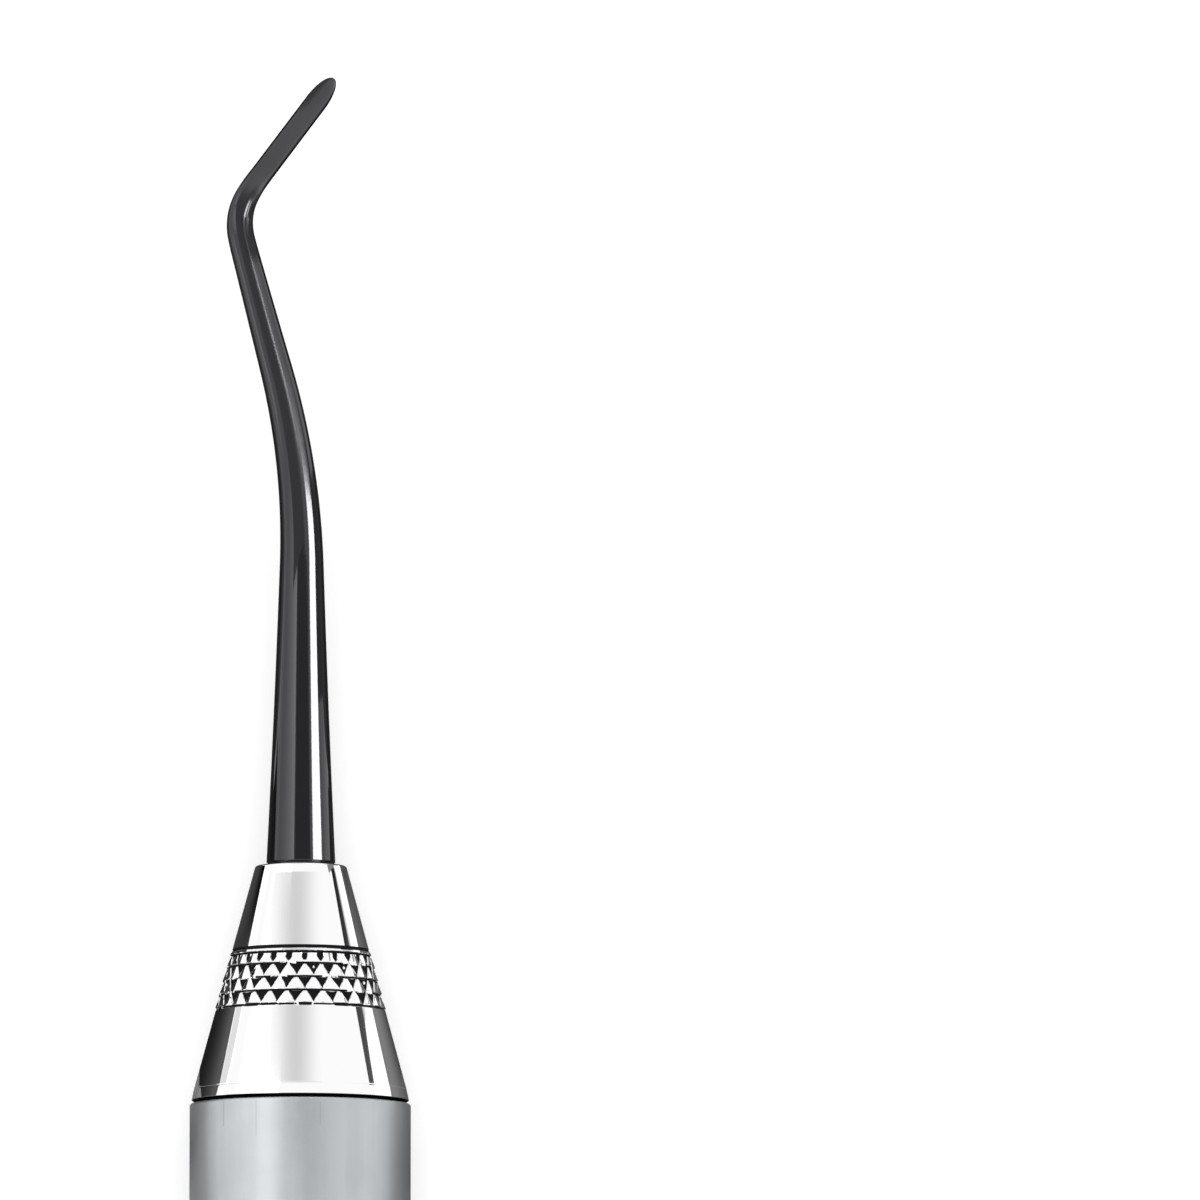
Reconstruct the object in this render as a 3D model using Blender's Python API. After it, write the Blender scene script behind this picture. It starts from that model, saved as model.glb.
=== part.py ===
# Double-ended composite spatula: a hollow satin handle, a polished cone with a knurled band at
# each end of it, and in each cone a black coated working end whose round shank is bent away from
# the axis and sharply back into a flat blade. It lies on its handle with both bends level.
# Metres, +Z up. +X points along the handle to the narrow blade.

import math

import bmesh
import bpy
from mathutils import Matrix, Vector

# Handle tube
TUBE_LENGTH = 0.0820
TUBE_DIAMETER = 0.0100  # across the flats of the facets, one of which lies on the ground
TUBE_WALL = 0.0007
TUBE_CHAMFER = 0.00012
TUBE_SIDES = 32

# Cones
CONE_LENGTH = 0.01065
CONE_BASE_DIAMETER = 0.00990
CONE_NOSE_DIAMETER = 0.00412
NOSE_FILLET = 0.00012
LAND_LENGTH = 0.00050  # narrow band of less slope between the cone's side and its base face
LAND_DROP = 0.00003  # how far the band lies below the cone's line at the base face
SPIGOT_LENGTH = 0.0065  # part of the cone that is pressed into the tube
SPIGOT_CHAMFER = 0.0004
DRILL_POINT_ANGLE = 118.0  # included angle at the bottom of the tang's hole

# Knurled band of each cone
KNURL_TEETH = 28  # pyramids in one turn
KNURL_ROWS = 5
KNURL_PLACE = 0.00405  # from the base face to the nearest edge of the band
KNURL_HELIX_ANGLE = 32.0  # of the crossing grooves, from the axis
KNURL_CREST = 0.00010  # height of a pyramid's point over the cone
KNURL_GROOVE = 0.00015  # depth of the grooves' crossings under the cone
KNURL_RUNOUT = 0.00015  # from the edge of the band to its first row

# Fits
SEAM_GAP = 0.00015  # between the tube's end and the cone's base
SPIGOT_CLEARANCE = 0.00015  # radial, spigot in tube
TANG_CLEARANCE = 0.0001  # radial, tang in cone
TANG_END_CLEARANCE = 0.0005  # tang's end to the bottom of its hole
SHOULDER_GAP = 0.0001  # shank's shoulder to the cone's nose

# Tang of each working end, inside the cone
TANG_DIAMETER = 0.0024
TANG_LENGTH = 0.0080
TANG_CHAMFER = 0.0002
SHOULDER_CHAMFER = 0.00008

# Narrow working end, at +X
NARROW_SHOULDER_DIAMETER = 0.00313
NARROW_MIDDLE_DIAMETER = 0.00194
NARROW_BEND_DIAMETER = 0.00122
NARROW_FIRST_STRAIGHT = 0.0136
NARROW_AWAY_ANGLE = 15.0
NARROW_AWAY_RADIUS = 0.0349
NARROW_SECOND_STRAIGHT = 0.0056
NARROW_LEAD_ANGLE = 2.8  # gentle start of the turn back
NARROW_LEAD_RADIUS = 0.0137
NARROW_BACK_ANGLE = 40.2
NARROW_BACK_RADIUS = 0.00275
NARROW_RUNOFF_ANGLE = 8.6  # gentle end of the turn back, in the blade
NARROW_RUNOFF_RADIUS = 0.0062
NARROW_BLADE_STRAIGHT = 0.0058
NARROW_BLADE_WIDTH = 0.00102
NARROW_BLADE_END_WIDTH = 0.00101
NARROW_BLADE_THICKNESS = 0.00046
NARROW_TIP_THICKNESS = 0.00026
NARROW_TIP_LENGTH = 0.0014
NARROW_BLEND = 0.0034  # from the start of the sharp bend until the blade has its full form

# Wide working end, at -X
WIDE_SHOULDER_DIAMETER = 0.00322
WIDE_MIDDLE_DIAMETER = 0.00196
WIDE_BEND_DIAMETER = 0.00110
WIDE_FIRST_STRAIGHT = 0.0138
WIDE_AWAY_ANGLE = 19.9
WIDE_AWAY_RADIUS = 0.0342
WIDE_SECOND_STRAIGHT = 0.00345
WIDE_LEAD_ANGLE = 15.4
WIDE_LEAD_RADIUS = 0.0065
WIDE_BACK_ANGLE = 41.5
WIDE_BACK_RADIUS = 0.00233
WIDE_RUNOFF_ANGLE = 5.4
WIDE_RUNOFF_RADIUS = 0.0102
WIDE_BLADE_STRAIGHT = 0.0051
WIDE_BLADE_WIDTH = 0.00143
WIDE_BLADE_END_WIDTH = 0.00138
WIDE_BLADE_THICKNESS = 0.00048
WIDE_TIP_THICKNESS = 0.00026
WIDE_TIP_LENGTH = 0.0015
WIDE_BLEND = 0.0021

# Form of both blades
BLADE_FLATNESS = 3.2  # 2 would be an ellipse, and a higher value is a flatter bar
TIP_BLUNTNESS = 6  # the higher, the later the tip thins out towards its end

# Fineness of the faceted surfaces
CONE_SIDES = 2 * KNURL_TEETH  # a crest and a groove for each tooth
SHANK_SIDES = 24
STATION_LENGTH = 0.0024  # longest step along a shank
STATION_ANGLE = 6.0  # most that a shank turns in one step
TIP_STEPS = 8
FILLET_STEPS = 3
SHARP_ANGLE = 25.0

# Sizes that follow from the ones above
TUBE_RADIUS = TUBE_DIAMETER / 2
SPIGOT_RADIUS = TUBE_RADIUS - TUBE_WALL - SPIGOT_CLEARANCE
TANG_RADIUS = TANG_DIAMETER / 2
BORE_RADIUS = TANG_RADIUS + TANG_CLEARANCE
BORE_DEPTH = TANG_LENGTH - SHOULDER_GAP + TANG_END_CLEARANCE
DRILL_POINT_DEPTH = BORE_RADIUS / math.tan(math.radians(DRILL_POINT_ANGLE / 2))


def material(name, color, roughness, metallic, coat=0.0):
    mat = bpy.data.materials.new(name)
    mat.use_nodes = True
    shader = mat.node_tree.nodes["Principled BSDF"]
    shader.inputs["Base Color"].default_value = (*color, 1.0)
    shader.inputs["Roughness"].default_value = roughness
    shader.inputs["Metallic"].default_value = metallic
    shader.inputs["Coat Weight"].default_value = coat
    mat.diffuse_color = (*color, 1.0)
    return mat


def finish_object(name, bm, mat, parent):
    # Faces out, smooth but for its real edges, in the parent's frame.
    bmesh.ops.recalc_face_normals(bm, faces=bm.faces)
    mesh = bpy.data.meshes.new(name)
    bm.to_mesh(mesh)
    bm.free()
    mesh.shade_smooth()
    mesh.set_sharp_from_angle(angle=math.radians(SHARP_ANGLE))
    mesh.materials.append(mat)
    obj = bpy.data.objects.new(name, mesh)
    bpy.context.collection.objects.link(obj)
    obj.parent = parent
    return obj


def frame(name, parent=None, x=0.0, z=0.0, turn=0.0):
    empty = bpy.data.objects.new(name, None)
    empty.location = (x, 0.0, z)
    empty.rotation_euler.z = turn
    empty.empty_display_size = TUBE_RADIUS
    bpy.context.collection.objects.link(empty)
    empty.parent = parent
    return empty


def turned(profile, sides, closed):
    # Turns a profile of (x, radius) points about the X axis. A closed profile makes a ring, an
    # open one runs from the axis to the axis. Half a step of turn puts a facet underneath.
    bm = bmesh.new()
    half_step = Matrix.Rotation(math.pi / sides, 3, "X")
    points = [bm.verts.new(half_step @ Vector((x, 0.0, -radius))) for x, radius in profile]
    edges = [bm.edges.new(pair) for pair in zip(points, points[1:])]
    if closed:
        edges.append(bm.edges.new((points[-1], points[0])))
    bmesh.ops.spin(
        bm, geom=points + edges, cent=(0.0, 0.0, 0.0), axis=(1.0, 0.0, 0.0),
        angle=math.tau, steps=sides, use_merge=True, use_duplicate=False,
    )
    on_axis = [v for v in bm.verts if math.hypot(v.co.y, v.co.z) < 1e-7]
    bmesh.ops.remove_doubles(bm, verts=on_axis, dist=1e-6)
    return bm


def tube(mat, parent):
    to_corner = 1 / math.cos(math.pi / TUBE_SIDES)  # from the flats of the facets to their corners
    outer = TUBE_RADIUS * to_corner
    inner = (TUBE_RADIUS - TUBE_WALL) * to_corner
    half = TUBE_LENGTH / 2
    profile = [
        (-half, inner),
        (-half, outer - TUBE_CHAMFER),
        (-half + TUBE_CHAMFER, outer),
        (half - TUBE_CHAMFER, outer),
        (half, outer - TUBE_CHAMFER),
        (half, inner),
    ]
    return finish_object("handle_tube", turned(profile, TUBE_SIDES, closed=True), mat, parent)


def cone_radius(x):
    # Radius of the plain cone at a distance x from its base face.
    share = x / CONE_LENGTH
    return (CONE_BASE_DIAMETER * (1 - share) + CONE_NOSE_DIAMETER * share) / 2


def knurl_rows():
    # Places of the rows of points, such that the grooves cross at the helix angle.
    middle = cone_radius(KNURL_PLACE)
    for _ in range(4):  # the band's middle depends on its own length
        pitch = math.pi * middle / KNURL_TEETH / math.tan(math.radians(KNURL_HELIX_ANGLE))
        middle = cone_radius(KNURL_PLACE + KNURL_RUNOUT + pitch * (KNURL_ROWS - 1) / 2)
    first = KNURL_PLACE + KNURL_RUNOUT
    return [first + pitch * row for row in range(KNURL_ROWS)]


def nose_fillet():
    # Quarter round that meets the cone's side and its nose face.
    slope = math.atan2((CONE_BASE_DIAMETER - CONE_NOSE_DIAMETER) / 2, CONE_LENGTH)
    sweep = math.pi / 2 - slope
    centre_x = CONE_LENGTH - NOSE_FILLET
    centre_r = cone_radius(centre_x) - NOSE_FILLET / math.cos(slope)
    points = []
    for step in range(FILLET_STEPS + 1):
        angle = math.pi / 2 - slope - sweep * step / FILLET_STEPS
        points.append((centre_x + NOSE_FILLET * math.cos(angle), centre_r + NOSE_FILLET * math.sin(angle)))
    return points


def cone(name, mat, parent):
    rows = knurl_rows()
    profile = [
        (-SEAM_GAP - SPIGOT_LENGTH, 0.0),
        (-SEAM_GAP - SPIGOT_LENGTH, SPIGOT_RADIUS - SPIGOT_CHAMFER),
        (-SEAM_GAP - SPIGOT_LENGTH + SPIGOT_CHAMFER, SPIGOT_RADIUS),
        (0.0, SPIGOT_RADIUS),
        (0.0, cone_radius(0.0) - LAND_DROP),
        (LAND_LENGTH, cone_radius(LAND_LENGTH)),
        (KNURL_PLACE, cone_radius(KNURL_PLACE)),
    ]
    first_row = len(profile)
    profile += [(x, cone_radius(x)) for x in rows]
    band_end = rows[-1] + KNURL_RUNOUT
    profile.append((band_end, cone_radius(band_end)))
    profile += nose_fillet()
    profile += [
        (CONE_LENGTH, BORE_RADIUS),
        (CONE_LENGTH - BORE_DEPTH, BORE_RADIUS),
        (CONE_LENGTH - BORE_DEPTH - DRILL_POINT_DEPTH, 0.0),
    ]
    bm = turned(profile, CONE_SIDES, closed=False)
    knurl(bm, [x for x, _ in profile[first_row:first_row + KNURL_ROWS]])
    return finish_object(name, bm, mat, parent)


def knurl(bm, rows):
    # In each row of the band every second point becomes a crest and the others sink to where the
    # grooves cross, staggered from row to row. Each face between two rows then folds along the
    # groove that joins its two low corners, which leaves four-sided pyramids.
    step = math.tau / CONE_SIDES
    crests, low_points = set(), set()
    for v in bm.verts:
        row = next((i for i, x in enumerate(rows) if abs(v.co.x - x) < 1e-6), None)
        if row is None:
            continue
        column = round(math.atan2(v.co.y, -v.co.z) / step - 0.5)
        is_crest = (column + row) % 2 == 0
        radius = math.hypot(v.co.y, v.co.z)
        growth = (radius + (KNURL_CREST if is_crest else -KNURL_GROOVE)) / radius
        v.co.y *= growth
        v.co.z *= growth
        (crests if is_crest else low_points).add(v)
    band = crests | low_points
    for face in [f for f in bm.faces if band.issuperset(f.verts)]:
        corners = [v for v in face.verts if v in low_points]
        bmesh.utils.face_split(face, corners[0], corners[1])


def straight(length):
    return (length, 0.0)


def arc(radius, angle):
    return (radius * abs(math.radians(angle)), math.radians(angle))


def smooth(share):
    share = min(max(share, 0.0), 1.0)
    return share * share * (3 - 2 * share)


def stations(pieces, tip_length):
    # Distances along the path at which the shank has a section: closer where it turns, and
    # closing up towards the end of the blade's round tip.
    places = [0.0]
    before_tip = pieces[:-1] + [straight(pieces[-1][0] - tip_length)]
    for length, turn in before_tip:
        steps = math.ceil(max(length / STATION_LENGTH, abs(turn) / math.radians(STATION_ANGLE)))
        start = places[-1]
        places += [start + length * (step + 1) / steps for step in range(steps)]
    start = places[-1]
    quarter = [math.sin(math.pi / 2 * (step + 1) / TIP_STEPS) for step in range(TIP_STEPS)]
    return places + [start + tip_length * share for share in quarter]


def path_point(pieces, distance):
    # Point and heading after a distance along straights and arcs, from the origin along +X.
    x, y, heading = 0.0, 0.0, 0.0
    for length, turn in pieces:
        run = min(distance, length)
        bend = turn * run / length
        chord = run if abs(bend) < 1e-9 else 2 * run / bend * math.sin(bend / 2)
        x += chord * math.cos(heading + bend / 2)
        y += chord * math.sin(heading + bend / 2)
        heading += bend
        distance -= run
        if distance <= 0:
            break
    return x, y, heading


def section(width, thickness, flatness):
    # Points of a rounded section, from an ellipse (flatness 2) to a flat bar with round edges.
    points = []
    for side in range(SHANK_SIDES):
        angle = math.tau * (side + 0.5) / SHANK_SIDES
        c, s = math.cos(angle), math.sin(angle)
        across = math.copysign(abs(c) ** (2 / flatness), c) * width / 2
        up = math.copysign(abs(s) ** (2 / flatness), s) * thickness / 2
        points.append((across, up))
    return points


def lofted(rings, start_pole, end_pole):
    # A closed skin over rings of points, with a point at each end.
    bm = bmesh.new()
    loops = [[bm.verts.new(p) for p in ring] for ring in rings]
    for near, far in zip(loops, loops[1:]):
        for i in range(len(near)):
            j = (i + 1) % len(near)
            bm.faces.new((near[i], near[j], far[j], far[i]))
    for pole, loop in ((start_pole, loops[0]), (end_pole, loops[-1])):
        centre = bm.verts.new(pole)
        for i in range(len(loop)):
            bm.faces.new((centre, loop[i], loop[(i + 1) % len(loop)]))
    return bm


def working_end(name, mat, parent, pieces, diameters, blade, thicknesses, tip_length, blend):
    # The path starts at the shoulder. The shank's diameter follows a parabola through the three
    # diameters up to the sharp bend, which is the fifth piece of the path; the blade comes after.
    shoulder, middle, at_bend = diameters
    width_root, width_end = blade
    thick_root, thick_end = thicknesses
    total = sum(length for length, _ in pieces)
    bend_start = sum(length for length, _ in pieces[:4])

    rings = []
    for x, diameter in (
        (-TANG_LENGTH, TANG_DIAMETER - 2 * TANG_CHAMFER),
        (-TANG_LENGTH + TANG_CHAMFER, TANG_DIAMETER),
        (0.0, TANG_DIAMETER),
        (0.0, shoulder - 2 * SHOULDER_CHAMFER),
    ):
        rings.append([(x, y, z) for y, z in section(diameter, diameter, 2)])

    for distance in stations(pieces, tip_length)[:-1]:
        t = min(distance / bend_start, 1.0)
        round_size = shoulder * (1 - t) * (1 - 2 * t) + 4 * middle * t * (1 - t) + at_bend * t * (2 * t - 1)
        beyond = max(distance - bend_start, 0.0)
        flat = smooth(beyond / blend)
        along = beyond / (total - bend_start)
        width = round_size + (width_root + (width_end - width_root) * along - round_size) * flat
        thickness = round_size + (thick_root + (thick_end - thick_root) * along - round_size) * flat
        in_tip = max(1 - (total - distance) / tip_length, 0.0)
        width *= math.sqrt(1 - in_tip ** 2)  # half an ellipse in plan
        thickness *= math.sqrt(1 - in_tip ** TIP_BLUNTNESS)
        x, y, heading = path_point(pieces, distance)
        start = SHOULDER_CHAMFER if not distance else 0.0
        ring = []
        for across, up in section(width, thickness, 2 + (BLADE_FLATNESS - 2) * flat):
            ring.append((x + start - across * math.sin(heading), y + across * math.cos(heading), up))
        rings.append(ring)

    tip = path_point(pieces, total)
    bm = lofted(rings, (-TANG_LENGTH, 0.0, 0.0), (tip[0], tip[1], 0.0))
    return finish_object(name, bm, mat, parent)


def narrow_working_end(mat, parent):
    pieces = [
        straight(NARROW_FIRST_STRAIGHT),
        arc(NARROW_AWAY_RADIUS, NARROW_AWAY_ANGLE),
        straight(NARROW_SECOND_STRAIGHT),
        arc(NARROW_LEAD_RADIUS, -NARROW_LEAD_ANGLE),
        arc(NARROW_BACK_RADIUS, -NARROW_BACK_ANGLE),
        arc(NARROW_RUNOFF_RADIUS, -NARROW_RUNOFF_ANGLE),
        straight(NARROW_BLADE_STRAIGHT),
    ]
    return working_end(
        "narrow_working_end", mat, parent, pieces,
        diameters=(NARROW_SHOULDER_DIAMETER, NARROW_MIDDLE_DIAMETER, NARROW_BEND_DIAMETER),
        blade=(NARROW_BLADE_WIDTH, NARROW_BLADE_END_WIDTH),
        thicknesses=(NARROW_BLADE_THICKNESS, NARROW_TIP_THICKNESS),
        tip_length=NARROW_TIP_LENGTH, blend=NARROW_BLEND,
    )


def wide_working_end(mat, parent):
    pieces = [
        straight(WIDE_FIRST_STRAIGHT),
        arc(WIDE_AWAY_RADIUS, WIDE_AWAY_ANGLE),
        straight(WIDE_SECOND_STRAIGHT),
        arc(WIDE_LEAD_RADIUS, -WIDE_LEAD_ANGLE),
        arc(WIDE_BACK_RADIUS, -WIDE_BACK_ANGLE),
        arc(WIDE_RUNOFF_RADIUS, -WIDE_RUNOFF_ANGLE),
        straight(WIDE_BLADE_STRAIGHT),
    ]
    return working_end(
        "wide_working_end", mat, parent, pieces,
        diameters=(WIDE_SHOULDER_DIAMETER, WIDE_MIDDLE_DIAMETER, WIDE_BEND_DIAMETER),
        blade=(WIDE_BLADE_WIDTH, WIDE_BLADE_END_WIDTH),
        thicknesses=(WIDE_BLADE_THICKNESS, WIDE_TIP_THICKNESS),
        tip_length=WIDE_TIP_LENGTH, blend=WIDE_BLEND,
    )


def centre_along_x(instrument, objects):
    # Moves the whole instrument so that its two tips are as far from the origin.
    bpy.context.view_layer.update()
    places = [(obj.matrix_world @ v.co).x for obj in objects for v in obj.data.vertices]
    instrument.location.x -= (min(places) + max(places)) / 2
    bpy.context.view_layer.update()


def build():
    for obj in list(bpy.data.objects):
        bpy.data.objects.remove(obj)

    satin = material("satin_steel", (0.55, 0.56, 0.56), 0.38, 1.0)
    polished = material("polished_steel", (0.82, 0.82, 0.83), 0.06, 1.0)
    black = material("black_coating", (0.012, 0.012, 0.013), 0.16, 0.0, coat=0.6)

    instrument = frame("instrument", z=TUBE_RADIUS)
    parts = [tube(satin, instrument)]
    base = TUBE_LENGTH / 2 + SEAM_GAP
    ends = (
        ("narrow", 1, 0.0, narrow_working_end),
        ("wide", -1, math.pi, wide_working_end),
    )
    for label, side, turn, make_working_end in ends:
        cone_frame = frame(f"{label}_cone_frame", instrument, x=side * base, turn=turn)
        nose_frame = frame(f"{label}_nose_frame", cone_frame, x=CONE_LENGTH + SHOULDER_GAP)
        parts.append(cone(f"{label}_end_cone", polished, cone_frame))
        parts.append(make_working_end(black, nose_frame))
    centre_along_x(instrument, parts)


build()
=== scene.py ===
import math

import bpy
import numpy as np
from mathutils import Matrix, Vector


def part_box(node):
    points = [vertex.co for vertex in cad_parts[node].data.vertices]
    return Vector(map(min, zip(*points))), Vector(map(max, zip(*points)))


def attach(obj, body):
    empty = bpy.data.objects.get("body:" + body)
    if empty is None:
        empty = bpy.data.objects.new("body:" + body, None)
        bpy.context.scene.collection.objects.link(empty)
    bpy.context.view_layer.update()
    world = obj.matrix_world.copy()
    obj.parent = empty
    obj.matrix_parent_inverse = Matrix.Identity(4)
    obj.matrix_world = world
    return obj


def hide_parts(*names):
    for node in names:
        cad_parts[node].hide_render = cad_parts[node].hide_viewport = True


# Looks of the composite spatula: satin handle, polished knurled cones, black coated working ends.
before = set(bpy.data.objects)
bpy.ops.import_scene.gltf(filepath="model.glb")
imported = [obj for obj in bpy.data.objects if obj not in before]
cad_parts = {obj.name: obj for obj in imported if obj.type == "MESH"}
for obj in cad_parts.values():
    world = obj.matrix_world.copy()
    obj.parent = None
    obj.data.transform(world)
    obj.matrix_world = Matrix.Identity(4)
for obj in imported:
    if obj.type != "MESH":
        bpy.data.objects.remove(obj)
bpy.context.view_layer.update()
mm = 0.001
ends = {"narrow": 1, "wide": -1}  # which way each end points along the handle

handleLow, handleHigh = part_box("handle_tube")
axisHeight = (handleLow.z + handleHigh.z) / 2
handleMiddle = (handleLow.x + handleHigh.x) / 2
print("frame loaded:", len(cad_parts), "nodes")


# Surfaces as grids of points

def gridQuads(rows, columns, wrapRows):
    # Each cell of a grid whose columns go round. Vertex number is row times columns plus column.
    row, column = np.meshgrid(np.arange(rows if wrapRows else rows - 1), np.arange(columns), indexing="ij")
    nextRow = (row + 1) % rows
    nextColumn = (column + 1) % columns
    corners = (row * columns + column, row * columns + nextColumn,
               nextRow * columns + nextColumn, nextRow * columns + column)
    return np.stack([c.ravel() for c in corners], axis=1)


def fan(pole, ring, flip):
    # Triangles from one point to each side of a closed ring of vertex numbers.
    after = np.roll(ring, -1)
    pole = np.full(len(ring), pole)
    return np.stack((pole, after, ring) if flip else (pole, ring, after), axis=1)


def addObject(name, data):
    # A new object for a mesh, a lamp or a camera, linked to the scene.
    made = bpy.data.objects.new(name, data)
    bpy.context.scene.collection.objects.link(made)
    return made


def meshPiece(name, points, faces, attributes, material, node, sharpAngle=30.0):
    # One closed surface in the row frame, smooth but for its real edges, in place of a CAD node.
    # Faces come in groups of equal size, and each attribute holds one value for every point.
    mesh = bpy.data.meshes.new(name)
    mesh.from_pydata(points.tolist(), [], [corner for group in faces for corner in group.tolist()])
    mesh.validate()
    for label, values in attributes.items():
        layer = mesh.attributes.new(label, "FLOAT", "POINT")
        layer.data.foreach_set("value", values.astype(np.float32).ravel())
    mesh.shade_smooth()
    mesh.set_sharp_from_angle(angle=math.radians(sharpAngle))
    mesh.materials.append(material)
    piece = addObject(name, mesh)
    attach(piece, "root")
    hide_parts(node)
    print("made", name, len(mesh.vertices), "points")
    return piece


def placed(x, y, z, baseX, side):
    # From an end's own axes to the row frame: the far end is the near one turned half round.
    return np.stack((baseX + side * x, side * y, axisHeight + z), axis=-1)


def quarterRound(centreX, centreRadius, radius, startAngle, endAngle, steps=8):
    # Points on an arc of a turned outline, by angle from the axis direction.
    angle = np.radians(np.linspace(startAngle, endAngle, steps))
    return np.stack((centreX + radius * np.cos(angle), centreRadius + radius * np.sin(angle)), axis=1)


# Handle

handle = {
    "radius": (handleHigh.z - handleLow.z) / 2,
    "halfLength": (handleHigh.x - handleLow.x) / 2,
    "wall": 0.7 * mm,
    "edgeRound": 0.12 * mm,
    "columns": 240,
}


def makeHandle(material):
    # A turned ring: radius as a function of place along the tube, carried round the axis.
    h = handle
    half, r, e = h["halfLength"], h["radius"], h["edgeRound"]
    corner = quarterRound(half - e, r - e, e, 90, 0)
    inner = r - h["wall"]
    outline = np.vstack((corner * (-1, 1), [[-half, inner], [half, inner]], corner[::-1]))
    around = np.linspace(0, math.tau, h["columns"], endpoint=False)
    x = np.broadcast_to(outline[:, :1], (len(outline), len(around)))
    y = outline[:, 1:] * np.sin(around)
    z = outline[:, 1:] * np.cos(around)
    points = placed(x, y, z, handleMiddle, 1).reshape(-1, 3)
    faces = [gridQuads(len(outline), len(around), wrapRows=True)]
    return meshPiece("satinHandle", points, faces, {}, material, "handle_tube")


# Cones

cone = {
    "length": 10.65 * mm,
    "baseRadius": 4.95 * mm,
    "noseRadius": 2.06 * mm,
    "noseRound": 0.12 * mm,
    "landLength": 0.50 * mm,
    "landDrop": 0.03 * mm,
    "creaseDepth": 0.006 * mm,
    "seamGap": 0.15 * mm,
    "spigotRadius": 4.15 * mm,
    "spigotLength": 6.5 * mm,
    "spigotChamfer": 0.4 * mm,
    "boreRadius": 1.3 * mm,
    "boreDepth": 8.4 * mm,
    "drillPointAngle": 118.0,
}

knurl = {
    "teeth": 28,
    "rows": 5,
    "place": 4.05 * mm,  # start of the band, from the cone's base
    "helixAngle": 32.0,
    "runOut": 0.15 * mm,
    "crest": 0.055 * mm,
    "groove": 0.03 * mm,
    "pocketDepth": 0.09 * mm,
    "pocketSize": 1.0,  # half width of a pocket beside its tooth's crest, in half pitches
    "pocketStart": 0.05,  # from the tooth's crest, in rows
    "hollow": 1.3,  # above 1 the pocket's sides are hollow
    "bulge": 0.13,  # how far the side beside the crest bends into the pocket, in rows
    "unevenness": 0.13,
    "cells": 14,  # mesh cells across half a tooth
    "cellStretch": 1.2,  # mesh cells from row to row, as a multiple of those
}

# How each end's band differs: a smooth ring with bars below it, the share of pockets that are joined,
# the share of grooves with a painted dark line, and the waves and width of the painted dark line along the
# nose's side.
# All these dark marks are painted shade and painted dark reflections.
knurlLooks = {
    "narrow": {
        "seed": 7, "bars": True, "joined": 0.55, "grooveLines": 0.12, "scallop": 0.0, "edgeLine": 0.15,
    },
    "wide": {
        "seed": 3, "bars": False, "joined": 0.45, "grooveLines": 0.75, "scallop": 0.16, "edgeLine": 0.10,
    },
}


coneSlope = math.atan2(cone["baseRadius"] - cone["noseRadius"], cone["length"])


def coneBase(label):
    # Where a cone's base lies: the end of the CAD cone at its nose, less the cone's length.
    low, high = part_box(label + "_end_cone")
    side = ends[label]
    return (high.x if side > 0 else low.x) - side * cone["length"]


def coneRadius(x):
    # Straight line from the base radius to the nose radius.
    share = x / cone["length"]
    return cone["baseRadius"] * (1 - share) + cone["noseRadius"] * share


def knurlPitch():
    # Row spacing at which the crossing grooves lie at the helix angle.
    k = knurl
    middle = coneRadius(k["place"])
    for _ in range(4):
        pitch = math.pi * middle / k["teeth"] / math.tan(math.radians(k["helixAngle"]))
        middle = coneRadius(k["place"] + k["runOut"] + pitch * (k["rows"] - 1) / 2)
    return pitch


def bandEnd():
    # The band's start, its rows, and a run-out before the first of them and after the last.
    return knurl["place"] + 2 * knurl["runOut"] + knurlPitch() * (knurl["rows"] - 1)


def soft(value, width):
    # 0 below zero and 1 above it, with an even slope of the given width between them.
    return np.clip(value / width + 0.5, 0, 1)


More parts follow.
